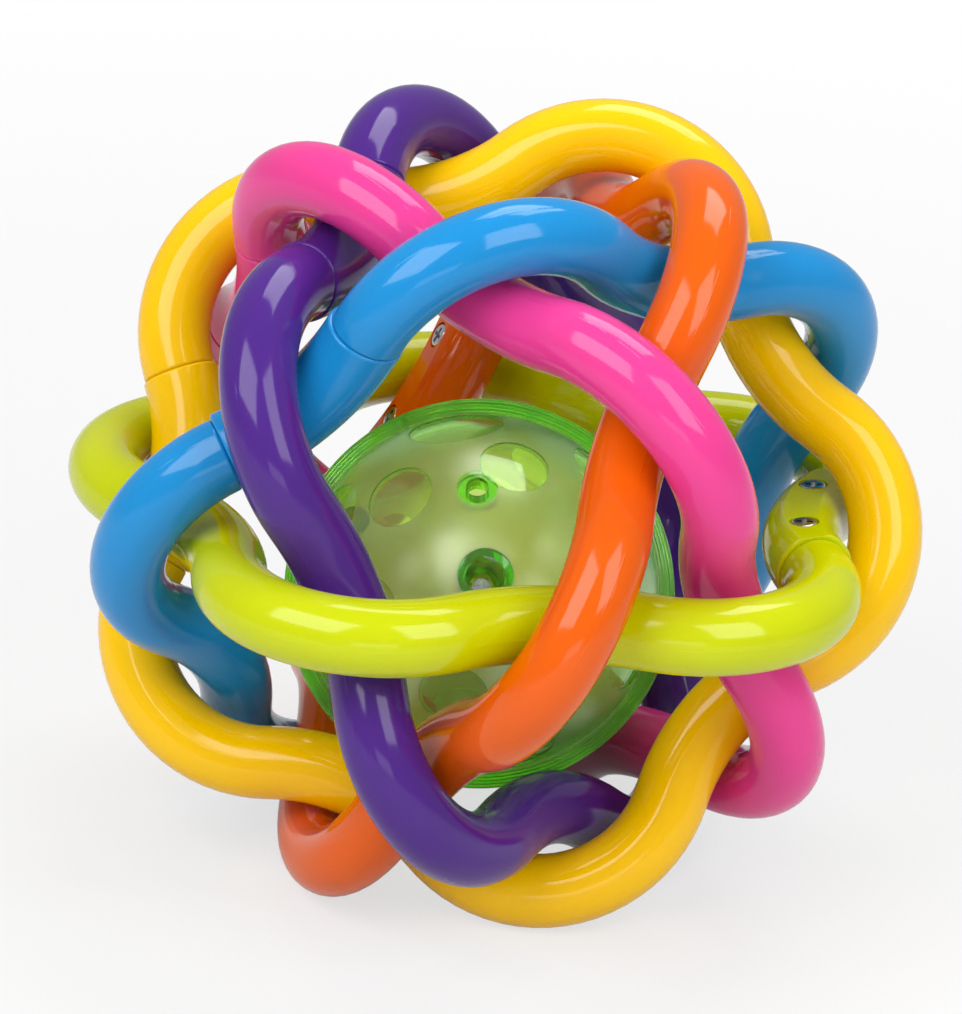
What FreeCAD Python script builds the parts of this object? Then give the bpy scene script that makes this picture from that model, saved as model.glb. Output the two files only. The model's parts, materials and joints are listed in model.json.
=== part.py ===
"""Woven rattle ball.

Six wavy tube rings are laced over and under one another into an open cage. Each ring is a long
C-shaped loop closed by a short link, which two screws hold. A two-part rattle with loose beads
inside is trapped in the cage. The cage stands on five crests, with +Z up and the origin at the
middle of its footprint. Sizes are in millimetres and degrees.
"""
import FreeCAD, Part
import math
import os
from FreeCAD import Placement, Rotation, Vector

# ---------------------------------------------------------------- driving dimensions
SIZES = [
    # the six rings
    ("ring_radius", 57.5, "middle of the cage to a tube's middle line, halfway up a wave"),
    ("crossing_gap", 1.4, "between two tubes where one passes over the other"),
    ("crest_bend", 22.5, "bend radius of the middle line over a crest"),
    ("tube_radius", 6.0, "outside of a tube"),
    ("tube_wall", 1.8, "wall of the hollow tube"),
    ("end_wall", 3.0, "solid end of a loop behind its spigot"),
    ("seam_round", 0.5, "rounded rims of a seam"),
    # the link that closes a ring
    ("link_extra", 0.4, "how much thicker than the tube the link is, all on its screw side"),
    ("link_side", 85.0, "screw side, turned from straight inwards towards the ring's axis"),
    ("flat_cut", 0.7, "depth of the flat on the screw side"),
    ("spigot_step", 1.5, "how much thinner than the tube the end of a loop inside the link is"),
    ("spigot_length", 10.5, "how far a loop reaches into the link"),
    ("spigot_gap", 0.15, "clearance round a spigot"),
    ("screw_inset", 6.9, "from a seam to the link's screw, along the tube"),
    ("screw_sink", 1.0, "counterbore, from the flat to the seat of the head"),
    ("sink_gap", 0.2, "clearance round a sunk screw head"),
    ("link_head_radius", 2.2, "link screw head"),
    ("link_head_height", 1.0, "link screw head"),
    ("link_shank_radius", 1.1, "link screw shank"),
    ("link_shank_length", 6.0, "link screw shank"),
    ("thread_gap", 0.05, "clearance round every screw shank"),
    ("end_gap", 0.5, "clearance past the end of every screw and pin"),
    # the two shells of the rattle
    ("dome_radius", 29.5, "outside of the rattle"),
    ("dome_wall", 1.6, "wall of both shells"),
    ("flange_reach", 2.7, "how far the rim where the shells meet stands out from the ball"),
    ("flange_height", 1.1, "each shell's rim, at its edge"),
    ("step_reach", 1.7, "how far the raised step of the rim stands out from the ball"),
    ("step_height", 1.8, "each shell's rim, at the step"),
    ("well_radius", 3.1, "screw well in the front shell"),
    ("boss_wall", 1.5, "wall round the screw well and the sound holes"),
    ("seat_height", 8.0, "seat of the screw head above the joint"),
    ("seat_floor", 2.5, "floor under the screw head"),
    ("rear_boss_radius", 3.6, "rear boss that the screw bites into"),
    ("window_radius", 5.7, "windows of the inner row"),
    ("window_polar", 41.0, "inner row, turned from the rattle's axis"),
    ("window_turn", -6.0, "inner row, turned clockwise from halfway between the outer windows"),
    ("side_window_radius", 7.9, "windows of the outer row"),
    ("side_window_polar", 67.5, "outer row, turned from the rattle's axis"),
    ("side_window_turn", -4.5, "outer row, turned clockwise from the sound holes"),
    ("window_sink", 0.25, "how far the windows are sunk"),
    ("sound_radius", 1.8, "sound holes"),
    ("sound_polar", 30.0, "sound holes, turned from the rattle's axis"),
    ("collar_depth", 1.5, "how far the collar of a sound hole stands in"),
    ("post_radius", 2.6, "locating posts"),
    ("post_inset", 2.7, "between a post and the wall, where the shells meet"),
    ("pin_radius", 1.25, "pin on each rear post"),
    ("pin_length", 4.5, "pin on each rear post"),
    ("pin_gap", 0.1, "clearance round a pin"),
    ("shell_head_radius", 2.4, "rattle screw head"),
    ("shell_head_height", 2.0, "rattle screw head"),
    ("shell_shank_radius", 1.3, "rattle screw shank"),
    ("shell_shank_length", 14.0, "rattle screw shank"),
    ("recess_width", 0.7, "arms of the cross recess in every screw head"),
    ("recess_share", 0.62, "cross recess as a share of the head, across and deep"),
    # where the rattle lies
    ("rattle_x", -1.2, "middle of the rattle from the middle of the cage"),
    ("rattle_y", 1.3, "middle of the rattle from the middle of the cage"),
    ("rest_room", 1.92, "between the ball and the lowest dips, straight in the middle of the cage"),
    ("rattle_azimuth", 8.6, "rattle's axis, turned from -Y towards +X"),
    ("rattle_elevation", 28.0, "rattle's axis, raised from level"),
    ("rattle_roll", -8.0, "pattern, turned clockwise about the rattle's axis"),
    # beads
    ("bead_radius", 2.6, "beads in the rattle"),
    ("bead_gap", 0.25, "clearance between a bead and the wall or the next bead"),
    ("track_gap", 0.5, "between the beads' tracks, and between a track and a post"),
]

CREST_COUNT = 5
WAVE_STEP = 360 / CREST_COUNT
# the axes of neighbouring rings stand as the six long diagonals of an icosahedron do
RING_TILT = math.degrees(math.atan(2))
# name, turn about the upright axis (none for the level ring), where its link lies, and whether
# the ring is turned over, so that its screws face the other way
RINGS = [
    ("lime", None, 0, False),
    ("yellow", 0, 0, True),
    ("purple", 1, 4, True),
    ("pink", 2, 3, False),
    ("blue", 3, 3, False),
    ("orange", 4, 0, False),
]
WINDOW_COUNT = 6
POST_COUNT = 3
POST_STEP = 360 / POST_COUNT
# tracks count from the lowest post, which blocks the track between -1 and 1
BEAD_TRACKS = [-3, -2, -1, 1, 2]

doc = FreeCAD.newDocument("WovenRattleBall")
sheet = doc.addObject("Spreadsheet::Sheet", "Sizes")
for row, (alias, value, note) in enumerate(SIZES, start=1):
    sheet.set(f"A{row}", note)
    sheet.set(f"B{row}", str(value))
    sheet.setAlias(f"B{row}", alias)
doc.recompute()


def size(alias):
    """A driving dimension, read from the sheet."""
    return float(sheet.get(alias))


# ---------------------------------------------------------------- the bends of one wave
# A ring is ten tangent bends. The crests' bend is chosen, and the dips' bend follows: the middles
# of the two bends must be one crest radius and one dip radius apart.
wave = doc.addObject("App::VarSet", "Wave")
WAVE_VALUES = [
    ("Float", "weave_rise", "Sizes.tube_radius + Sizes.crossing_gap / 2"),
    ("Float", "crest_reach", "Sizes.ring_radius + weave_rise"),
    ("Float", "dip_reach", "Sizes.ring_radius - weave_rise"),
    ("Float", "crest_middle", "crest_reach - Sizes.crest_bend"),
    ("Float", "across", f"crest_middle * cos({WAVE_STEP / 2})"),
    (
        "Float",
        "dip_bend",
        "(Sizes.crest_bend ^ 2 - crest_middle ^ 2 - dip_reach ^ 2 + 2 * across * dip_reach)"
        " / (2 * (dip_reach - across - Sizes.crest_bend))",
    ),
    ("Float", "dip_middle", "dip_reach + dip_bend"),
    (
        "Angle",
        "crest_half",
        f"atan2(dip_middle * sin({WAVE_STEP / 2}); dip_middle * cos({WAVE_STEP / 2}) - crest_middle)",
    ),
    ("Angle", "dip_half", f"crest_half - {WAVE_STEP / 2} deg"),
    ("Angle", "end_turn", "Sizes.end_wall / Sizes.crest_bend * 1 rad"),
    ("Angle", "spigot_turn", "Sizes.spigot_length / dip_bend * 1 rad"),
    (
        "Float",
        "cage_height",
        f"sin({RING_TILT}) * (crest_middle * cos({WAVE_STEP / 4}) + Sizes.crest_bend)"
        " + Sizes.tube_radius",
    ),
]
for kind, name, expression in WAVE_VALUES:
    wave.addProperty(f"App::Property{kind}", name, "Wave")
    wave.setExpression(name, expression)
    doc.recompute()


# ---------------------------------------------------------------- small building helpers
def primitive(kind, name, sizes, place=None):
    """A Part primitive whose sizes are bound to the sheet."""
    item = doc.addObject(f"Part::{kind}", name)
    for prop, expression in sizes.items():
        item.setExpression(prop, expression)
    item.Placement = place or Placement()
    return item


def joined(name, shapes):
    item = doc.addObject("Part::MultiFuse", name)
    item.Shapes = shapes
    return item


def overlap(name, shapes):
    item = doc.addObject("Part::MultiCommon", name)
    item.Shapes = shapes
    return item


def cut(name, base, tool):
    item = doc.addObject("Part::Cut", name)
    item.Base = base
    item.Tool = tool
    return item


def rounded(name, base, radius, wanted):
    """A fillet on every edge that the test picks."""
    doc.recompute()
    item = doc.addObject("Part::Fillet", name)
    item.Base = base
    picked = [i for i, edge in enumerate(base.Shape.Edges, start=1) if wanted(edge)]
    item.Edges = [(i, radius, radius) for i in picked]
    return item


def turned(degrees, axis=Vector(0, 0, 1)):
    return Rotation(axis, degrees)


def aimed(direction):
    """The turn that points a piece's own +Z along a direction."""
    return Rotation(Vector(0, 0, 1), direction)


def shifted(place, distance):
    """The same place, moved along its own +Z."""
    return place * Placement(Vector(0, 0, distance), Rotation())


def screw(name, kind):
    """A pan-head screw with a cross recess, its head's seat at the origin and its shank down."""
    head_sizes = {"Radius": f"Sizes.{kind}_head_radius", "Height": f"Sizes.{kind}_head_height"}
    head = primitive("Cylinder", f"{name}_head", head_sizes)
    top = size(f"{kind}_head_height")
    dome = rounded(f"{name}_dome", head, top / 2, lambda edge: edge.BoundBox.ZMin > top / 2)
    shank_sizes = {"Radius": f"Sizes.{kind}_shank_radius", "Height": f"Sizes.{kind}_shank_length"}
    down = shifted(Placement(), -size(f"{kind}_shank_length"))
    shank = primitive("Cylinder", f"{name}_shank", shank_sizes, down)
    arms = []
    span = size("recess_share") * 2 * size(f"{kind}_head_radius")
    depth = size("recess_share") * top
    for arm, angle in (("arm", 0), ("cross_arm", 90)):
        corner = Vector(-span / 2, -size("recess_width") / 2, top - depth)
        arm_sizes = {
            "Length": f"Sizes.recess_share * 2 * Sizes.{kind}_head_radius",
            "Width": "Sizes.recess_width",
            "Height": f"Sizes.{kind}_head_height",
        }
        place = Placement(Vector(), turned(angle)) * Placement(corner, Rotation())
        arms.append(primitive("Box", f"{name}_{arm}", arm_sizes, place))
    solid = joined(f"{name}_solid", [dome, shank])
    return cut(name, solid, joined(f"{name}_recess", arms))


def shank_hole(name, kind, place):
    """The hole for a screw's shank, from the seat down to just past its end."""
    sizes = {
        "Radius": f"Sizes.{kind}_shank_radius + Sizes.thread_gap",
        "Height": f"Sizes.{kind}_shank_length + Sizes.end_gap",
    }
    depth = size(f"{kind}_shank_length") + size("end_gap")
    return primitive("Cylinder", name, sizes, shifted(place, -depth))


# ---------------------------------------------------------------- one ring, lying in XY
# The link's dip is on +X, and the ring's own axis is +Z.
crest_half = wave.crest_half.Value
dip_half = wave.dip_half.Value
end_turn = wave.end_turn.Value
link_middle = Vector(wave.dip_middle, 0, 0)


def crest(name, index, radius, closed_ends):
    """An outward bend of the tube. With closed ends it stops short where it meets a seam."""
    first = closed_ends and index == 0
    last = closed_ends and index == CREST_COUNT - 1
    direction = (index + 0.5) * WAVE_STEP
    start = direction - crest_half + (end_turn if first else 0)
    sizes = {
        "Radius1": "Sizes.crest_bend",
        "Radius2": radius,
        "Angle3": f"2 * Wave.crest_half - {first + last} * Wave.end_turn",
    }
    middle = turned(direction).multVec(Vector(wave.crest_middle, 0, 0))
    return primitive("Torus", name, sizes, Placement(middle, turned(start)))


def dip(name, index, radius):
    """An inward bend of the tube."""
    direction = index * WAVE_STEP
    sizes = {"Radius1": "Wave.dip_bend", "Radius2": radius, "Angle3": "2 * Wave.dip_half"}
    middle = turned(direction).multVec(link_middle)
    return primitive("Torus", name, sizes, Placement(middle, turned(direction + 180 - dip_half)))


def wavy_tube(name, radius, closed_ends):
    """Every bend of the ring except the link's dip."""
    bends = [crest(f"{name}_crest_{i}", i, radius, closed_ends) for i in range(CREST_COUNT)]
    bends += [dip(f"{name}_dip_{i}", i, radius) for i in range(1, CREST_COUNT)]
    return joined(name, bends)


def spigot(name, start):
    """The plain end of a loop, which lies inside the link."""
    sizes = {
        "Radius1": "Wave.dip_bend",
        "Radius2": "Sizes.tube_radius - Sizes.spigot_step",
        "Angle3": "Wave.spigot_turn",
    }
    return primitive("Torus", name, sizes, Placement(link_middle, turned(start)))


def has_radius(edge, radius):
    """Whether an edge is a circle of this radius."""
    return edge.Curve.TypeId == "Part::GeomCircle" and abs(edge.Curve.Radius - radius) < 1e-6


seams = [
    link_middle + turned(180 + side * dip_half).multVec(Vector(wave.dip_bend, 0, 0))
    for side in (-1, 1)
]


def is_seam(edge):
    """Whether an edge is the tube's rim at one of the two seams."""
    if not has_radius(edge, size("tube_radius")):
        return False
    return any(edge.Curve.Center.distanceToPoint(seam) < 1e-3 for seam in seams)


# the screws stand square to the flat, which faces inwards and to the side of the ring
screw_side = turned(size("link_side"), Vector(0, 1, 0)).multVec(Vector(-1, 0, 0))
screw_turn = dip_half - math.degrees(size("screw_inset") / wave.dip_bend)
flat_rise = size("tube_radius") + 2 * size("link_extra") - size("flat_cut")
flat_place = Placement(Vector(wave.dip_reach, 0, 0) + screw_side * flat_rise, aimed(screw_side))


def seat_place(side):
    """The seat of one link screw: under the flat, over the tube's middle line."""
    line = link_middle + turned(180 + side * screw_turn).multVec(Vector(wave.dip_bend, 0, 0))
    rise = (flat_place.Base - line).dot(screw_side) - size("screw_sink")
    return Placement(line + screw_side * rise, aimed(screw_side))


seats = {"left": seat_place(-1), "right": seat_place(1)}
link_holes = joined(
    "LinkHoles", [shank_hole(f"LinkHole_{side}", "link", place) for side, place in seats.items()]
)

# the loop: a hollow tube with solid ends, and a spigot on each
tube = wavy_tube("Tube", "Sizes.tube_radius", False)
bore = wavy_tube("Bore", "Sizes.tube_radius - Sizes.tube_wall", True)
soft_tube = rounded("SoftTube", cut("HollowTube", tube, bore), size("seam_round"), is_seam)
spigots = [
    spigot("SpigotLeft", 180 - dip_half),
    spigot("SpigotRight", 180 + dip_half - wave.spigot_turn.Value),
]
loop = cut("Loop", joined("LoopSolid", [soft_tube] + spigots), link_holes)

# the link: a thicker bend, offset so that its far side is flush with the tube
sleeve_sizes = {
    "Radius1": "Wave.dip_bend + Sizes.link_extra * cos(Sizes.link_side)",
    "Radius2": "Sizes.tube_radius + Sizes.link_extra",
    "Angle3": "2 * Wave.dip_half",
}
sleeve_lift = Vector(0, 0, size("link_extra") * screw_side.z)
sleeve_start = turned(180 - dip_half)
sleeve = primitive("Torus", "Sleeve", sleeve_sizes, Placement(link_middle + sleeve_lift, sleeve_start))
sleeve_radius = size("tube_radius") + size("link_extra")
soft_sleeve = rounded(
    "SoftSleeve", sleeve, size("seam_round"), lambda edge: has_radius(edge, sleeve_radius)
)
socket_sizes = {
    "Radius1": "Wave.dip_bend",
    "Radius2": "Sizes.tube_radius - Sizes.spigot_step + Sizes.spigot_gap",
    "Angle3": "2 * Wave.dip_half",
}
socket = primitive("Torus", "Socket", socket_sizes, Placement(link_middle, sleeve_start))
flat_sizes = {
    "Length": "4 * Sizes.tube_radius",
    "Width": "2 * Wave.dip_bend",
    "Height": "Sizes.tube_radius",
}
flat_corner = Vector(-2 * size("tube_radius"), -wave.dip_bend, 0)
flat = primitive("Box", "Flat", flat_sizes, flat_place * Placement(flat_corner, Rotation()))
sinks = [
    primitive(
        "Cylinder",
        f"Sink_{side}",
        {"Radius": "Sizes.link_head_radius + Sizes.sink_gap", "Height": "Sizes.tube_radius"},
        place,
    )
    for side, place in seats.items()
]
link = cut("Link", soft_sleeve, joined("LinkTools", [socket, flat, link_holes] + sinks))
link_screw = screw("LinkScrew", "link")


# ---------------------------------------------------------------- the rattle, about its own axis
# The rattle's own +Z is its axis, through the screw, and the shells meet at Z = 0. An angle round
# the axis is measured from its own +Y towards +X, as the front shell's face is seen.
def outward(polar, angle):
    """The direction at this angle from the axis and this angle round it."""
    return turned(-angle).multVec(turned(-polar, Vector(1, 0, 0)).multVec(Vector(0, 0, 1)))


def half_ball(name, radius, front=True):
    """Half a ball, on the front shell's side or the rear shell's."""
    place = Placement() if front else Placement(Vector(), turned(180, Vector(1, 0, 0)))
    return primitive("Sphere", name, {"Radius": radius, "Angle1": "0", "Angle2": "90"}, place)


def shell(name, front):
    """A half ball with its stepped rim, still without its inside."""
    place = Placement() if front else Placement(Vector(), turned(180, Vector(1, 0, 0)))
    rims = [
        primitive(
            "Cylinder",
            f"{name}_{rim}",
            {"Radius": f"Sizes.dome_radius + Sizes.{rim}_reach", "Height": f"Sizes.{rim}_height"},
            place,
        )
        for rim in ("flange", "step")
    ]
    outside = joined(f"{name}_outside", [half_ball(f"{name}_dome", "Sizes.dome_radius", front)] + rims)
    inside = half_ball(f"{name}_inside", "Sizes.dome_radius - Sizes.dome_wall", front)
    return cut(f"{name}_shell", outside, inside)


def to_wall(name, shapes, front):
    """Pieces that end inside the wall of a shell."""
    middle_of_wall = "Sizes.dome_radius - Sizes.dome_wall / 2"
    limit = half_ball(f"{name}_limit", middle_of_wall, front)
    return overlap(name, [joined(f"{name}_all", shapes), limit])


def windows(name, front, first_angle):
    """The tool that sinks both rows of windows into a dome."""
    columns = []
    flip = Placement() if front else Placement(Vector(), turned(180, Vector(0, 1, 0)))
    side_turn = size("side_window_turn")
    rows = (("window", 180 / WINDOW_COUNT + side_turn + size("window_turn")), ("side_window", side_turn))
    for row, turn in rows:
        for i in range(WINDOW_COUNT):
            angle = first_angle + turn + i * 360 / WINDOW_COUNT
            place = flip * Placement(Vector(), aimed(outward(size(f"{row}_polar"), angle)))
            sizes = {"Radius": f"Sizes.{row}_radius", "Height": "Sizes.dome_radius + Sizes.dome_wall"}
            columns.append(primitive("Cylinder", f"{name}_{row}_{i}", sizes, place))
    floor = primitive("Sphere", f"{name}_floor", {"Radius": "Sizes.dome_radius - Sizes.window_sink"})
    return cut(name, joined(f"{name}_columns", columns), floor)


def post_circle():
    """From the rattle's axis to the middle of a post."""
    return size("dome_radius") - size("dome_wall") - size("post_inset") - size("post_radius")


def posts(name, radius, base, height):
    """A round post at each of the three places."""
    items = []
    for i in range(POST_COUNT):
        foot = turned(-(lowest_post + i * POST_STEP)).multVec(Vector(0, post_circle(), base))
        sizes = {"Radius": radius, "Height": height}
        items.append(primitive("Cylinder", f"{name}_{i}", sizes, Placement(foot, Rotation())))
    return items


roll = size("rattle_roll")
lowest_post = 180 + roll
seat = Placement(Vector(0, 0, size("seat_height")), Rotation())
boss_bottom = size("seat_height") - size("seat_floor")

# front shell: screw well, sound holes with collars, posts with sockets
front_boss = primitive(
    "Cylinder",
    "FrontBoss",
    {"Radius": "Sizes.well_radius + Sizes.boss_wall", "Height": "Sizes.dome_radius"},
    Placement(Vector(0, 0, boss_bottom), Rotation()),
)
collars = []
sound_holes = []
for i in range(POST_COUNT):
    aim = Placement(Vector(), aimed(outward(size("sound_polar"), roll + i * POST_STEP)))
    inner_end = size("dome_radius") - size("dome_wall") - size("collar_depth")
    collar_sizes = {"Radius": "Sizes.sound_radius + Sizes.boss_wall", "Height": "Sizes.dome_radius"}
    collars.append(primitive("Cylinder", f"Collar_{i}", collar_sizes, shifted(aim, inner_end)))
    hole_sizes = {"Radius": "Sizes.sound_radius", "Height": "2 * Sizes.dome_radius"}
    sound_holes.append(primitive("Cylinder", f"SoundHole_{i}", hole_sizes, aim))
front_posts = posts("FrontPost", "Sizes.post_radius", 0, "Sizes.dome_radius")
front_inside = to_wall("FrontInside", [front_boss] + collars + front_posts, True)
front_solid = joined("FrontSolid", [shell("Front", True), front_inside])
well_sizes = {"Radius": "Sizes.well_radius", "Height": "Sizes.dome_radius"}
well = primitive("Cylinder", "Well", well_sizes, seat)
shell_hole = shank_hole("ShellHole", "shell", seat)
pin_sockets = posts(
    "PinSocket", "Sizes.pin_radius + Sizes.pin_gap", 0, "Sizes.pin_length + Sizes.end_gap"
)
front_tools = [well, shell_hole, windows("FrontWindows", True, roll)] + sound_holes + pin_sockets
front_shell = cut("FrontShell", front_solid, joined("FrontTools", front_tools))

# rear shell: closed, with the boss that the screw bites into and a pin on each post
rear_boss = primitive(
    "Cylinder",
    "RearBoss",
    {"Radius": "Sizes.rear_boss_radius", "Height": "Sizes.dome_radius"},
    Placement(Vector(0, 0, -size("dome_radius")), Rotation()),
)
rear_posts = posts("RearPost", "Sizes.post_radius", -size("dome_radius"), "Sizes.dome_radius")
rear_inside = to_wall("RearInside", [rear_boss] + rear_posts, False)
boss_top = primitive(
    "Cylinder",
    "BossTop",
    {"Radius": "Sizes.rear_boss_radius", "Height": "Sizes.seat_height - Sizes.seat_floor"},
)
pins = posts("Pin", "Sizes.pin_radius", 0, "Sizes.pin_length")
rear_solid = joined("RearSolid", [shell("Rear", False), rear_inside, boss_top] + pins)
rear_tools = [windows("RearWindows", False, -roll + 180 / WINDOW_COUNT), shell_hole]
rear_shell = cut("RearShell", rear_solid, joined("RearTools", rear_tools))
shell_screw = screw("ShellScrew", "shell")


# ---------------------------------------------------------------- one bead, on its track
# A bead rolls round inside the wall, in a plane square to the rattle's own X. The lowest place on
# every track is turned back from the rattle's own -Y, because its axis points upwards.
track_radius = size("dome_radius") - size("dome_wall") - size("bead_gap") - size("bead_radius")
bead = primitive("Sphere", "Bead", {"Radius": "Sizes.bead_radius"})


def bead_place(track, side):
    """One of the two beads that lie side by side at the bottom of a track."""
    post_x = post_circle() * math.sin(math.radians(lowest_post))
    beside_post = size("post_radius") + size("track_gap") + size("bead_radius")
    further = (abs(track) - 1) * (2 * size("bead_radius") + size("track_gap"))
    x = post_x + math.copysign(beside_post + further, track)
    reach = math.sqrt(track_radius**2 - x**2)
    half_gap = math.degrees(math.asin((size("bead_radius") + size("bead_gap")) / reach))
    turn = turned(size("rattle_elevation") + side * half_gap, Vector(1, 0, 0))
    return Placement(Vector(x, 0, 0) + turn.multVec(Vector(0, -reach, 0)), Rotation())


# ---------------------------------------------------------------- everything in its place
nodes = []


def put(node, master, place):
    """A sub-part: the master shape, in its place in the whole."""
    item = doc.addObject("Part::Compound", node)
    item.Label = node
    item.Links = [master]
    item.Placement = place
    nodes.append(item)


cage_middle = Vector(0, 0, wave.cage_height)
level = Vector(0, 0, 1)
tilted = turned(RING_TILT, Vector(1, 0, 0)).multVec(level)
swap = turned(180, level + tilted)
for colour, turn, link_dip, turned_over in RINGS:
    attitude = Rotation() if turn is None else turned(turn * WAVE_STEP) * swap
    way_up = turned(180 if turned_over else 0, Vector(1, 0, 0))
    ring = Placement(cage_middle, attitude * turned(link_dip * WAVE_STEP) * way_up)
    put(f"{colour}_loop", loop, ring)
    put(f"{colour}_link", link, ring)
    for side, place in seats.items():
        put(f"{colour}_link_screw_{side}", link_screw, ring * place)

# the rattle sinks until it nearly lies on the five dips round the cage's foot
dip_below = wave.dip_reach * math.cos(math.radians(RING_TILT / 2))
dip_aside = wave.dip_reach * math.sin(math.radians(RING_TILT / 2))
rest_reach = size("dome_radius") + size("rest_room") + size("tube_radius")
drop = dip_below - math.sqrt(rest_reach**2 - dip_aside**2)
rattle_middle = cage_middle + Vector(size("rattle_x"), size("rattle_y"), -drop)
rattle_aim = turned(size("rattle_azimuth")) * turned(90 - size("rattle_elevation"), Vector(1, 0, 0))
rattle = Placement(rattle_middle, rattle_aim)
put("rattle_front_shell", front_shell, rattle)
put("rattle_rear_shell", rear_shell, rattle)
put("rattle_screw", shell_screw, rattle * seat)
for number, track in enumerate(BEAD_TRACKS, start=1):
    put(f"bead_{number}_front", bead, rattle * bead_place(track, -1))
    put(f"bead_{number}_rear", bead, rattle * bead_place(track, 1))

# ---------------------------------------------------------------- check and write
doc.recompute()
for item in doc.Objects:
    if "Invalid" in item.State or "Error" in item.State:
        raise RuntimeError(f"{item.Label} failed: {item.State}")
for item in nodes:
    if item.Shape.isNull() or not item.Shape.isValid() or len(item.Shape.Solids) != 1:
        raise RuntimeError(f"{item.Label} isn't one sound solid")
os.makedirs("parts", exist_ok=True)
for item in nodes:
    item.Shape.exportStep(f"parts/{item.Label}.step")
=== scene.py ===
"""Woven rattle ball: finishes, table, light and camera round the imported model.

Six wavy tube rings are woven into an open cage. A see-through rattle with beads lies inside it.
"""
import bpy
import json
import math
from mathutils import Matrix, Vector


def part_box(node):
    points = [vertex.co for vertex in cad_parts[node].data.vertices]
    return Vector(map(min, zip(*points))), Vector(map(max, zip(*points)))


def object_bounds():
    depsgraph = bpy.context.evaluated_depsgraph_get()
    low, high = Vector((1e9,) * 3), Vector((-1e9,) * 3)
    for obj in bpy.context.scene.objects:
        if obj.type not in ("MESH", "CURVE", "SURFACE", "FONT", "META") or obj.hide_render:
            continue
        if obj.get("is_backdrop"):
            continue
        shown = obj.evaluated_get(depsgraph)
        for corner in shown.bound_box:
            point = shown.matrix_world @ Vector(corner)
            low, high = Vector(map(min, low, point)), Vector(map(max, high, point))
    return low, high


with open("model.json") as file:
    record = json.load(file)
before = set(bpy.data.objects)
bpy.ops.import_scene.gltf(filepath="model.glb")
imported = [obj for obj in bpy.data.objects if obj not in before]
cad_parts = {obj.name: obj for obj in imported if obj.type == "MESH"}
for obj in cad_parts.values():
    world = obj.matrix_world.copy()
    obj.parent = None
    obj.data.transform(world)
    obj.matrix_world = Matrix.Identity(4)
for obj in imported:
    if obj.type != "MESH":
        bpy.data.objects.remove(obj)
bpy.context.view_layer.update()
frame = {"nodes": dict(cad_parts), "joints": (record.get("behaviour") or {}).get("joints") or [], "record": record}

# ---------------------------------------------------------------- beads
# Ten small beads lie loose in the rattle and make its noise. They are solid glossy plastic in
# four colours, moulded in two halves, so each has a fine line round its middle.
BEAD_COLOURS = {
    "bead_orange": (0.85, 0.13, 0.01),
    "bead_yellow": (1.0, 0.52, 0.0),
    "bead_red": (0.6, 0.012, 0.012),
    "bead_green": (0.015, 0.22, 0.02),
}
BEAD_DULLNESS = 0.10
BEAD_DEPTH = 0.0006
GLOSS = 0.34
# a colour drifts to this share of itself, and part of the light scatters below the surface, the
# more so in the colour's strong channels
DEEPER_SHADE = 0.84
SCATTER_SHARE = 0.15
SCATTER_FLOOR = 0.05
MOULD_LINE_HALF = 0.00016
MOULD_LINE_HEIGHT = 0.00005
RIPPLE_HEIGHT = 0.00003
RELIEF_STRENGTH = 0.5
# each noise: its waves to the metre and its detail
SMEAR_NOISE = (90.0, 5.0)
SCUFF_NOISE = (1500.0, 3.0)
RIPPLE_NOISE = (230.0, 1.0)
SHADE_NOISE = (35.0, 3.0)
TRIM_NOISE = (160.0, 2.0)
# the value of its noise where a scuff or the line shows in full, and where it is gone
SCUFF_FULL, SCUFF_NONE = 0.78, 0.66
TRIM_FULL, TRIM_NONE = 0.56, 0.40
SMEAR_DULLNESS = 0.10
SCUFF_DULLNESS = 0.14


def effect(name, inputs, outputs):
    """An empty shared effect: a node group with inputs (name, kind, value) and outputs."""
    tree = bpy.data.node_groups.new(name, "ShaderNodeTree")
    for label, kind, value in inputs:
        socket = tree.interface.new_socket(label, in_out="INPUT", socket_type=kind)
        if value is not None:
            socket.default_value = value
    for label in outputs:
        tree.interface.new_socket(label, in_out="OUTPUT", socket_type="NodeSocketFloat")
    return tree, tree.nodes.new("NodeGroupInput"), tree.nodes.new("NodeGroupOutput")


def maths(tree, operation, first, second=0.0):
    """A Math node on sockets or plain numbers."""
    node = tree.nodes.new("ShaderNodeMath")
    node.operation = operation
    for socket, value in zip(node.inputs, (first, second)):
        if isinstance(value, (int, float)):
            socket.default_value = value
        else:
            tree.links.new(value, socket)
    return node.outputs["Value"]


def soft_step(tree, value, full, none):
    """1 where value is at full and 0 where it is at none, and smooth between."""
    node = tree.nodes.new("ShaderNodeMapRange")
    node.interpolation_type = "SMOOTHSTEP"
    tree.links.new(value, node.inputs["Value"])
    node.inputs["From Min"].default_value = none
    node.inputs["From Max"].default_value = full
    return node.outputs["Result"]


def noise(tree, position, scale, detail):
    """Plain noise, with scale waves to the metre, and with finer ones as detail says."""
    node = tree.nodes.new("ShaderNodeTexNoise")
    node.inputs["Scale"].default_value = scale
    node.inputs["Detail"].default_value = detail
    tree.links.new(position, node.inputs["Vector"])
    return node.outputs["Fac"]


def length(tree, position):
    """How far a position is from its origin."""
    node = tree.nodes.new("ShaderNodeVectorMath")
    node.operation = "LENGTH"
    tree.links.new(position, node.inputs[0])
    return node.outputs["Value"]


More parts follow.
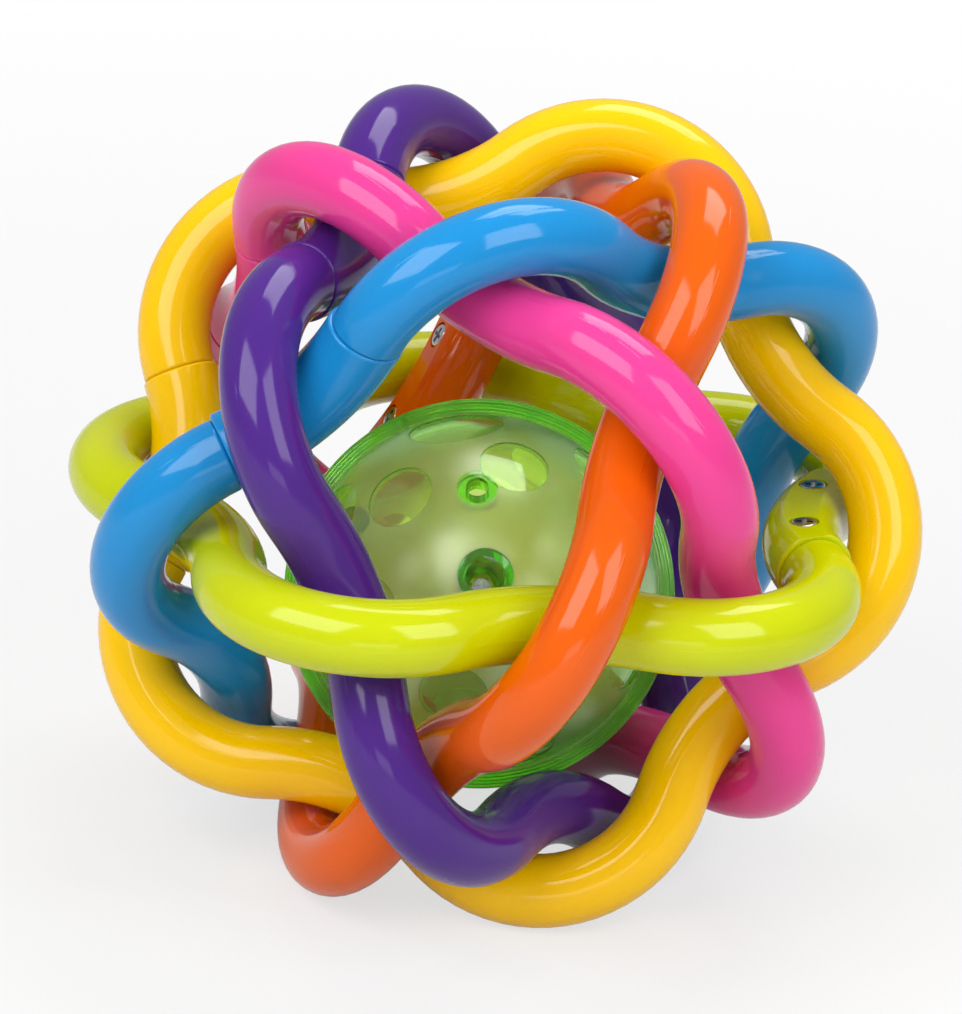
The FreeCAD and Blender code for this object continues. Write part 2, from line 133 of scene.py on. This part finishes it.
def mould_line_effect():
    """The fine raised line where a mould's halves met, in the plane Z = 0 of the position."""
    tree, start, end = effect("MouldLine", [("Position", "NodeSocketVector", None)], ["Line"])
    position = start.outputs["Position"]
    split = tree.nodes.new("ShaderNodeSeparateXYZ")
    tree.links.new(position, split.inputs["Vector"])
    line = soft_step(tree, maths(tree, "ABSOLUTE", split.outputs["Z"]), 0.0, MOULD_LINE_HALF)
    left_by_trimming = soft_step(tree, noise(tree, position, *TRIM_NOISE), TRIM_FULL, TRIM_NONE)
    tree.links.new(maths(tree, "MULTIPLY", line, left_by_trimming), end.inputs["Line"])
    return tree


def handling_effect():
    """Gloss dulled by hands and fine scuffs, the ripple of moulding, and drifts of shade."""
    tree, start, end = effect(
        "Handling",
        [("Position", "NodeSocketVector", None), ("Dullness", "NodeSocketFloat", 0.1)],
        ["Roughness", "Ripple", "Shade"],
    )
    position = start.outputs["Position"]
    smears = maths(tree, "MULTIPLY", noise(tree, position, *SMEAR_NOISE), SMEAR_DULLNESS)
    specks = soft_step(tree, noise(tree, position, *SCUFF_NOISE), SCUFF_FULL, SCUFF_NONE)
    scuffs = maths(tree, "MULTIPLY", specks, SCUFF_DULLNESS)
    worn = maths(tree, "ADD", smears, scuffs)
    tree.links.new(maths(tree, "ADD", worn, start.outputs["Dullness"]), end.inputs["Roughness"])
    tree.links.new(noise(tree, position, *RIPPLE_NOISE), end.inputs["Ripple"])
    tree.links.new(noise(tree, position, *SHADE_NOISE), end.inputs["Shade"])
    return tree


mould_line = mould_line_effect()
handling = handling_effect()


def own_position(tree, middle, axis, side):
    """Object coordinates moved to middle and turned, so that Z and X run along axis and side."""
    z = axis.normalized()
    y = z.cross(side).normalized()
    turn = Matrix((y.cross(z), y, z))
    coordinates = tree.nodes.new("ShaderNodeTexCoord")
    mapping = tree.nodes.new("ShaderNodeMapping")
    mapping.inputs["Location"].default_value = turn @ -middle
    mapping.inputs["Rotation"].default_value = turn.to_euler()
    tree.links.new(coordinates.outputs["Object"], mapping.inputs["Vector"])
    return mapping.outputs["Vector"]


def placed(tree, shared, position):
    """A shared effect, placed in a material and given its position."""
    node = tree.nodes.new("ShaderNodeGroup")
    node.node_tree = shared
    tree.links.new(position, node.inputs["Position"])
    return node


def blended(tree, first, second, amount):
    """A colour that goes from first, a colour or a socket, to second, by amount."""
    mix = tree.nodes.new("ShaderNodeMix")
    mix.data_type = "RGBA"
    mix.inputs["B"].default_value = (*second, 1)
    tree.links.new(amount, mix.inputs["Factor"])
    if isinstance(first, bpy.types.NodeSocket):
        tree.links.new(first, mix.inputs["A"])
    else:
        mix.inputs["A"].default_value = (*first, 1)
    return mix.outputs["Result"]


def relief(tree, height, distance, under=None):
    """The normal of a fine relief, on top of another one's."""
    bump = tree.nodes.new("ShaderNodeBump")
    bump.inputs["Distance"].default_value = distance
    bump.inputs["Strength"].default_value = RELIEF_STRENGTH
    tree.links.new(height, bump.inputs["Height"])
    if under is not None:
        tree.links.new(under, bump.inputs["Normal"])
    return bump.outputs["Normal"]


def new_material(name):
    """A new material, its node tree and its Principled BSDF."""
    material = bpy.data.materials.new(name)
    material.use_nodes = True
    tree = material.node_tree
    return material, tree, tree.nodes["Principled BSDF"]


def moulded_plastic(name, colour, middle, axis, dullness, depth):
    """Glossy coloured plastic that light enters to depth, with its mould line square to axis."""
    material, tree, plastic = new_material(name)
    position = own_position(tree, middle, axis, axis.orthogonal())
    hands = placed(tree, handling, position)
    hands.inputs["Dullness"].default_value = dullness
    line = placed(tree, mould_line, position)
    deeper = tuple(channel * DEEPER_SHADE for channel in colour)
    tree.links.new(blended(tree, colour, deeper, hands.outputs["Shade"]), plastic.inputs["Base Color"])
    tree.links.new(hands.outputs["Roughness"], plastic.inputs["Roughness"])
    ripple = relief(tree, hands.outputs["Ripple"], RIPPLE_HEIGHT)
    ridge = relief(tree, line.outputs["Line"], MOULD_LINE_HEIGHT, ripple)
    tree.links.new(ridge, plastic.inputs["Normal"])
    plastic.inputs["Subsurface Weight"].default_value = SCATTER_SHARE
    spread = [SCATTER_FLOOR + channel for channel in colour]
    plastic.inputs["Subsurface Radius"].default_value = spread
    plastic.inputs["Subsurface Scale"].default_value = depth
    plastic.inputs["Specular IOR Level"].default_value = GLOSS
    return material


def finish(node, material):
    """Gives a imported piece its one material."""
    slots = frame["nodes"][node].data.materials
    slots.clear()
    slots.append(material)


bead_slots = {
    part["node"]: part["material_slot"]
    for part in frame["record"]["subparts"]
    if part["node"].startswith("bead_")
}
for node, slot in bead_slots.items():
    low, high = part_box(node)
    middle = (Vector(low) + Vector(high)) / 2
    lean = Vector((1, 1 if node.endswith("rear") else -1, 2))
    colour = BEAD_COLOURS[slot]
    finish(node, moulded_plastic(f"{node}_plastic", colour, middle, lean, BEAD_DULLNESS, BEAD_DEPTH))

# ---------------------------------------------------------------- rattle shells
# Two half balls of see-through green plastic, screwed together through the front one. They are
# frosted but for two rows of round windows, left clear. The stepped rim where they meet is thick,
# so it is a deeper green, and it has fine turning lines from its mould.
# the frosted tint is partly the plastic's own and partly a painted golden sheen
FROSTED_TINT_AND_PAINTED_SHEEN = (1.0, 0.88, 0.36)
CLEAR_TINT = (1.0, 0.98, 0.42)
# the deeper green of the thick rim, well and collars, also painted as shade towards the rim and round each window
THICK_GREEN_AND_PAINTED_SHADE = (0.48, 1.0, 0.14)
GREEN_DEPTH = (0.45, 0.98, 0.05, 1)
GREEN_DENSITY = 340.0
# each row of windows, in degrees: its angle from the rattle's axis, a window's own reach seen from
# the middle, and how far the row is turned
WINDOW_ROWS = [(41.0, 11.1, 19.5), (67.5, 15.5, -4.5)]
WINDOW_STEP = 60.0
# the thick collars round the screw well and the sound holes, in the same way
WELL_REACH = 8.8
SOUND_POLAR, SOUND_REACH, SOUND_STEP = 30.0, 6.6, 120.0
# how wide the soft edge of a window or a collar is
WINDOW_EDGE = 0.4
# whole steps added to an angle, so that its remainder is never taken of a negative number
SPARE_STEPS = 4
FRONT_TURN, REAR_TURN = -8.0, 38.0
AXIS_RISE = math.radians(28.0)
RIM_INSIDE, RIM_OUTSIDE = 0.0290, 0.0302
# painted shade: the wall is painted a deeper green towards the rim, where it is seen more and more edge on
PAINTED_LIMB_SHADE_FROM, PAINTED_LIMB_SHADE_SHARE = 0.0190, 0.55
RIM_LINE_STEP = 0.00055
RIM_LINE_HEIGHT = 0.00006
FROST = 0.27
FROST_NOISE = (3600.0, 2.0)
FROST_GRAIN = 0.000022
CLEAR_ROUGHNESS = 0.05
SHELL_TRANSMISSION = 0.86
SHELL_IOR = 1.49
SHEEN_ROUGHNESS = 0.34
SHEEN_IOR = 1.75

joints = {joint["child"]: joint for joint in frame["joints"]}
rattle_middle = Vector(joints["bead_1_front"]["pos_m"])
rattle_right = Vector(joints["bead_1_front"]["axis"])
upright = Vector((0, 0, 1))
rattle_axis = rattle_right.cross(upright) * math.cos(AXIS_RISE) + upright * math.sin(AXIS_RISE)


def nearness(tree, polar, around, row_polar, row_turn, row_step):
    """The cosine of the angle from here to the nearest middle in a row round the axis."""
    step = math.radians(row_step)
    behind = maths(tree, "SUBTRACT", around, math.radians(row_turn) - (SPARE_STEPS + 0.5) * step)
    aside = maths(tree, "SUBTRACT", maths(tree, "MODULO", behind, step), step / 2)
    level = maths(tree, "MULTIPLY", maths(tree, "SINE", polar), math.sin(row_polar))
    level = maths(tree, "MULTIPLY", level, maths(tree, "COSINE", aside))
    along = maths(tree, "MULTIPLY", maths(tree, "COSINE", polar), math.cos(row_polar))
    return maths(tree, "ADD", level, along)


def rattle_pattern_effect():
    """The clear windows, the thick places, a painted shade of deeper green towards the rim and round each window,
    and the turning lines of the rim.
    """
    inputs = [
        ("Position", "NodeSocketVector", None),
        ("Turn", "NodeSocketFloat", 0.0),
        ("Sound Holes", "NodeSocketFloat", 0.0),
    ]
    tree, start, end = effect("RattlePattern", inputs, ["Clear", "Thick And Painted Outline", "Green", "Lines"])
    position = start.outputs["Position"]
    split = tree.nodes.new("ShaderNodeSeparateXYZ")
    tree.links.new(position, split.inputs["Vector"])
    reach = length(tree, position)
    polar = maths(tree, "ARCCOSINE", maths(tree, "DIVIDE", split.outputs["Z"], reach))
    around = maths(tree, "ARCTAN2", split.outputs["X"], split.outputs["Y"])
    around = maths(tree, "SUBTRACT", around, start.outputs["Turn"])
    rows = []
    for row_polar, row_reach, row_turn in WINDOW_ROWS:
        near = nearness(tree, polar, around, math.radians(row_polar), row_turn, WINDOW_STEP)
        inside = math.cos(math.radians(row_reach - WINDOW_EDGE))
        rows.append(soft_step(tree, near, inside, math.cos(math.radians(row_reach))))
    clear = maths(tree, "MAXIMUM", *rows)
    tree.links.new(clear, end.inputs["Clear"])
    not_clear = maths(tree, "SUBTRACT", 1.0, clear)
    # four times the product is 1 half way over a window's edge, and 0 on both sides of it: there a dark green
    # outline is painted as shade, where the window's step shows dark
    painted_window_outline = maths(tree, "MULTIPLY", maths(tree, "MULTIPLY", clear, not_clear), 4.0)
    across = maths(tree, "MULTIPLY", reach, maths(tree, "SINE", polar))
    rim = soft_step(tree, across, RIM_OUTSIDE, RIM_INSIDE)
    well = soft_step(tree, polar, math.radians(WELL_REACH - WINDOW_EDGE), math.radians(WELL_REACH))
    near = nearness(tree, polar, around, math.radians(SOUND_POLAR), 0.0, SOUND_STEP)
    inside = math.cos(math.radians(SOUND_REACH - WINDOW_EDGE))
    collar = soft_step(tree, near, inside, math.cos(math.radians(SOUND_REACH)))
    collar = maths(tree, "MULTIPLY", collar, start.outputs["Sound Holes"])
    thick_and_painted_outline = maths(tree, "MAXIMUM", rim, painted_window_outline)
    thick_and_painted_outline = maths(tree, "MAXIMUM", thick_and_painted_outline, well)
    thick_and_painted_outline = maths(tree, "MAXIMUM", thick_and_painted_outline, collar)
    tree.links.new(thick_and_painted_outline, end.inputs["Thick And Painted Outline"])
    # painted shade: a deeper green is painted on towards the rim, standing in for the wall seen edge on
    deeper = soft_step(tree, across, RIM_INSIDE, PAINTED_LIMB_SHADE_FROM)
    deeper = maths(tree, "MULTIPLY", deeper, PAINTED_LIMB_SHADE_SHARE)
    tree.links.new(maths(tree, "MAXIMUM", deeper, thick_and_painted_outline), end.inputs["Green"])
    wave = maths(tree, "SINE", maths(tree, "MULTIPLY", across, 2 * math.pi / RIM_LINE_STEP))
    tree.links.new(maths(tree, "MULTIPLY", wave, rim), end.inputs["Lines"])
    return tree


rattle_pattern = rattle_pattern_effect()


def shell_plastic(name, axis, right, turn, sound_holes):
    """See-through green plastic, frosted between the clear windows, the frosted parts tinted with a painted golden
    sheen.
    """
    material, tree, plastic = new_material(name)
    position = own_position(tree, rattle_middle, axis, right)
    pattern = placed(tree, rattle_pattern, position)
    pattern.inputs["Turn"].default_value = math.radians(turn)
    pattern.inputs["Sound Holes"].default_value = sound_holes
    hands = placed(tree, handling, position)
    hands.inputs["Dullness"].default_value = FROST
    # painted sheen: the frosted parts are tinted golden
    tint = blended(tree, FROSTED_TINT_AND_PAINTED_SHEEN, CLEAR_TINT, pattern.outputs["Clear"])
    # painted shade: the deeper green goes on the thick places, and is painted towards the rim and round each
    # window
    tint = blended(tree, tint, THICK_GREEN_AND_PAINTED_SHADE, pattern.outputs["Green"])
    tree.links.new(tint, plastic.inputs["Base Color"])
    smooth = maths(tree, "MAXIMUM", pattern.outputs["Clear"], pattern.outputs["Thick And Painted Outline"])
    frosted = maths(tree, "SUBTRACT", 1.0, smooth)
    rough = maths(tree, "MULTIPLY", hands.outputs["Roughness"], frosted)
    tree.links.new(maths(tree, "ADD", rough, CLEAR_ROUGHNESS), plastic.inputs["Roughness"])
    sparkle = maths(tree, "MULTIPLY", noise(tree, position, *FROST_NOISE), frosted)
    grain = relief(tree, sparkle, FROST_GRAIN)
    lined = relief(tree, pattern.outputs["Lines"], RIM_LINE_HEIGHT, grain)
    tree.links.new(lined, plastic.inputs["Normal"])
    plastic.inputs["Transmission Weight"].default_value = SHELL_TRANSMISSION
    plastic.inputs["IOR"].default_value = SHELL_IOR
    tree.links.new(frosted, plastic.inputs["Coat Weight"])
    plastic.inputs["Coat Roughness"].default_value = SHEEN_ROUGHNESS
    plastic.inputs["Coat IOR"].default_value = SHEEN_IOR
    body = tree.nodes.new("ShaderNodeVolumeAbsorption")
    body.inputs["Color"].default_value = GREEN_DEPTH
    body.inputs["Density"].default_value = GREEN_DENSITY
    tree.links.new(body.outputs["Volume"], tree.nodes["Material Output"].inputs["Volume"])
    return material


front_plastic = shell_plastic(
    "front_shell_plastic", rattle_axis, rattle_right, FRONT_TURN, sound_holes=1.0
)
rear_plastic = shell_plastic(
    "rear_shell_plastic", -rattle_axis, -rattle_right, REAR_TURN, sound_holes=0.0
)
finish("rattle_front_shell", front_plastic)
finish("rattle_rear_shell", rear_plastic)

# ---------------------------------------------------------------- screws
# Thirteen chromed steel pan-head screws with a cross recess: one in the rattle's well, and two
# sunk in each link. They are turned and plated, so they are bright, with a little haze.
CHROME = (0.74, 0.74, 0.76)
CHROME_HAZE = (0.55, 0.55, 0.58)
CHROME_DULLNESS = 0.07


def bright_chrome():
    """Bright chrome with a little haze where the driver has turned."""
    material, tree, metal = new_material("screw_chrome")
    coordinates = tree.nodes.new("ShaderNodeTexCoord")
    hands = placed(tree, handling, coordinates.outputs["Object"])
    hands.inputs["Dullness"].default_value = CHROME_DULLNESS
    tree.links.new(hands.outputs["Roughness"], metal.inputs["Roughness"])
    haze = blended(tree, CHROME, CHROME_HAZE, hands.outputs["Shade"])
    tree.links.new(haze, metal.inputs["Base Color"])
    metal.inputs["Metallic"].default_value = 1.0
    return material


chrome = bright_chrome()
for node in frame["nodes"]:
    if "screw" in node:
        finish(node, chrome)

# ---------------------------------------------------------------- rings
# Six wavy tube rings, each a long hollow loop and a short link that closes it. They are moulded
# from glossy plastic in one colour each, and the link slides over the loop's ends and is screwed
# down. A fine line where the mould's halves met runs round in the ring's own plane.
RING_COLOURS = {
    "lime": (0.56, 0.63, 0.0),
    "yellow": (1.0, 0.58, 0.0),
    "purple": (0.070, 0.017, 0.223),
    "pink": (0.80, 0.05, 0.285),
    "blue": (0.01, 0.26, 0.61),
    "orange": (0.79, 0.112, 0.0),
}
RING_DULLNESS = 0.06
RING_DEPTH = 0.0025

cage_middle = Vector(joints["yellow_ring"]["pos_m"])
ring_axes = {child: Vector(joint["axis"]) for child, joint in joints.items()}
ring_axes["lime_ring"] = upright
for name, colour in RING_COLOURS.items():
    axis = ring_axes[f"{name}_ring"]
    plastic = moulded_plastic(f"{name}_plastic", colour, cage_middle, axis, RING_DULLNESS, RING_DEPTH)
    finish(f"{name}_loop", plastic)
    finish(f"{name}_link", plastic)

# ---------------------------------------------------------------- table
# A plain white table top that runs out of sight and takes the ball's shadow. Where it is looked
# at, part of its white is its own, which hides the lamps' uneven light: near the ball only part,
# so that the shadow shows, and all of it further off. Reflections show less of that white.
TABLE_SIZE = 12.0
TABLE_WHITE = (0.68, 0.68, 0.68, 1)
OWN_WHITE = 0.68
REFLECTED_SHARE = 0.3
# from under the ball: how far OWN_WHITE holds, and from where on all of the white is its own
SHADE_REACH, WHITE_REACH = 0.12, 0.55


def table_paper():
    """White paper, lit by the lamps, whose own white shows where it is looked at."""
    paper = bpy.data.materials.new("table_paper")
    paper.use_nodes = True
    tree = paper.node_tree
    tree.nodes.clear()
    output = tree.nodes.new("ShaderNodeOutputMaterial")
    lit = tree.nodes.new("ShaderNodeBsdfDiffuse")
    lit.inputs["Color"].default_value = TABLE_WHITE
    own = tree.nodes.new("ShaderNodeEmission")
    path = tree.nodes.new("ShaderNodeLightPath")
    reflected = maths(tree, "MULTIPLY", path.outputs["Is Glossy Ray"], REFLECTED_SHARE)
    seen = maths(tree, "MAXIMUM", path.outputs["Is Camera Ray"], reflected)
    seen = maths(tree, "MAXIMUM", seen, path.outputs["Is Transmission Ray"])
    coordinates = tree.nodes.new("ShaderNodeTexCoord")
    far = soft_step(tree, length(tree, coordinates.outputs["Object"]), WHITE_REACH, SHADE_REACH)
    white = maths(tree, "ADD", maths(tree, "MULTIPLY", far, 1.0 - OWN_WHITE), OWN_WHITE)
    blend = tree.nodes.new("ShaderNodeMixShader")
    tree.links.new(maths(tree, "MULTIPLY", seen, white), blend.inputs["Fac"])
    tree.links.new(lit.outputs["BSDF"], blend.inputs[1])
    tree.links.new(own.outputs["Emission"], blend.inputs[2])
    tree.links.new(blend.outputs["Shader"], output.inputs["Surface"])
    return paper


bpy.ops.object.select_all(action="DESELECT")
bpy.ops.mesh.primitive_plane_add(size=TABLE_SIZE, location=(0, 0, 0))
table_top = bpy.context.object
table_top.name = "table_top"
table_top.data.materials.append(table_paper())
table_top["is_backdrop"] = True

# ---------------------------------------------------------------- light
# Large softboxes stand round the table and lay broad soft shines along the tubes. A pale room
# fills in the rest, and it is plain white where the camera sees it, also through the rattle.
ROOM_FILL = 0.40
# name, turn from the front towards +X, height angle, distance, width, height, power in watts
SOFTBOXES = [
    ("softbox_key", -36, 42, 0.80, 0.60, 0.50, 4.4),
    ("softbox_right", 46, 38, 0.80, 0.42, 0.55, 3.0),
    ("softbox_top", 165, 66, 0.80, 0.50, 0.40, 3.0),
    ("softbox_front", 10, 2, 0.95, 0.46, 0.16, 0.4),
]

room = bpy.data.worlds.new("room")
bpy.context.scene.world = room
room.use_nodes = True
room_tree = room.node_tree
room_path = room_tree.nodes.new("ShaderNodeLightPath")
room_strength = room_tree.nodes.new("ShaderNodeMapRange")
room_strength.inputs["To Min"].default_value = ROOM_FILL
room_seen = maths(
    room_tree, "MAXIMUM", room_path.outputs["Is Camera Ray"], room_path.outputs["Is Transmission Ray"]
)
room_tree.links.new(room_seen, room_strength.inputs["Value"])
room_light = room_tree.nodes["Background"]
room_light.inputs["Color"].default_value = (1, 1, 1, 1)
room_tree.links.new(room_strength.outputs["Result"], room_light.inputs["Strength"])


def direction(azimuth, elevation):
    """The way to a light or a camera: turned from the front (-Y) towards +X, then raised."""
    turn, rise = math.radians(azimuth), math.radians(elevation)
    level = math.cos(rise)
    return Vector((math.sin(turn) * level, -math.cos(turn) * level, math.sin(rise)))


for name, azimuth, elevation, distance, width, height, power in SOFTBOXES:
    lamp = bpy.data.lights.new(name, "AREA")
    lamp.shape = "RECTANGLE"
    lamp.size = width
    lamp.size_y = height
    lamp.energy = power
    softbox = bpy.data.objects.new(name, lamp)
    bpy.context.collection.objects.link(softbox)
    away = direction(azimuth, elevation)
    softbox.location = cage_middle + away * distance
    softbox.rotation_euler = away.to_track_quat("Z", "Y").to_euler()

bpy.context.scene.view_settings.view_transform = "Standard"

# ---------------------------------------------------------------- camera
# A long lens looks down on the ball from a little right of the front, tilted slightly and aimed
# just beside the middle of the cage.
CAMERA_AZIMUTH, CAMERA_ELEVATION = 7.04, 21.51
CAMERA_TILT = math.radians(4.15)
CAMERA_DISTANCE = 0.752
CAMERA_LENS = 163.5
AIM_RIGHT, AIM_UP = -0.0019, -0.0010

camera_back = direction(CAMERA_AZIMUTH, CAMERA_ELEVATION)
level_right = upright.cross(camera_back).normalized()
camera_right = Matrix.Rotation(CAMERA_TILT, 3, camera_back) @ level_right
camera_up = camera_back.cross(camera_right)
camera_data = bpy.data.cameras.new("camera")
camera_data.lens = CAMERA_LENS
camera = bpy.data.objects.new("camera", camera_data)
bpy.context.collection.objects.link(camera)
camera.matrix_world = Matrix((camera_right, camera_up, camera_back)).transposed().to_4x4()
aim = cage_middle + camera_right * AIM_RIGHT + camera_up * AIM_UP
camera.location = aim + camera_back * CAMERA_DISTANCE
bpy.context.scene.camera = camera

# ---------------------------------------------------------------- size
low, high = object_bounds()
